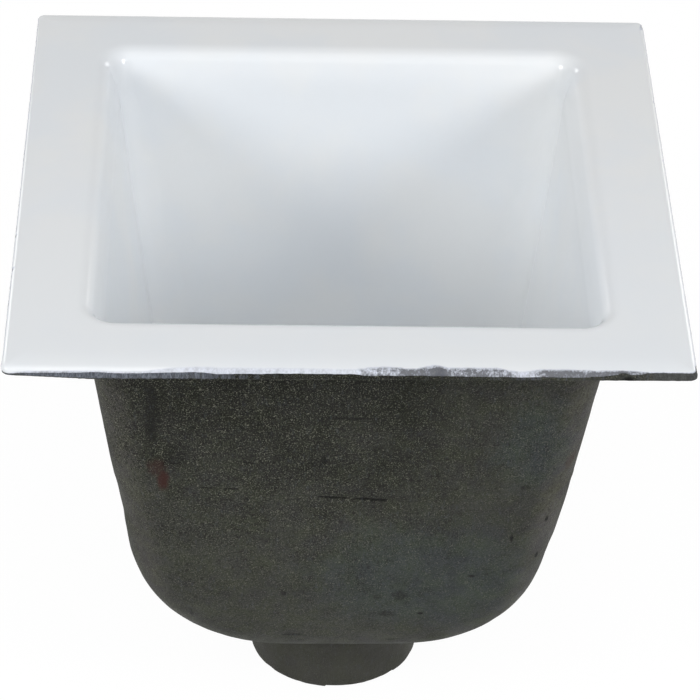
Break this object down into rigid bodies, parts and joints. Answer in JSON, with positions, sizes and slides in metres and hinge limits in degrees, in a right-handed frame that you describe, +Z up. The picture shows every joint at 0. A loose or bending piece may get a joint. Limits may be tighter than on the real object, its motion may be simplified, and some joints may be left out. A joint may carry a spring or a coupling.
{
  "type": "floor sink",
  "caption": "Square cast-iron floor sink with a white enamelled flange and deep tapered bowl, a plain pipe outlet below and a loose slotted dome strainer.",
  "frame": {"origin": "centre of the outlet pipe's lower end, on the surface that the sink stands on", "axes": "+Z up through the outlet, the bowl and the square mouth; X and Y run square to the flange's sides"},
  "size_m": [0.3048, 0.3048, 0.2765],
  "materials": {
    "grey_iron": "raw sand-cast grey iron, matt and grainy, with rust and pits",
    "white_enamel": "opaque white vitreous enamel, glossy",
    "cast_aluminium": "satin as-cast aluminium"
  },
  "bodies": {
    "sink": {"flange": "grey_iron", "bowl": "grey_iron", "outlet_pipe": "grey_iron", "porcelain_enamel": "white_enamel"},
    "strainer": {"dome_strainer": "cast_aluminium"}
  },
  "joints": [
    {"name": "strainer_lift", "type": "slide", "parent": "sink", "child": "strainer", "axis": [0, 0, 1], "range_m": [0, 0.24]}
  ]
}
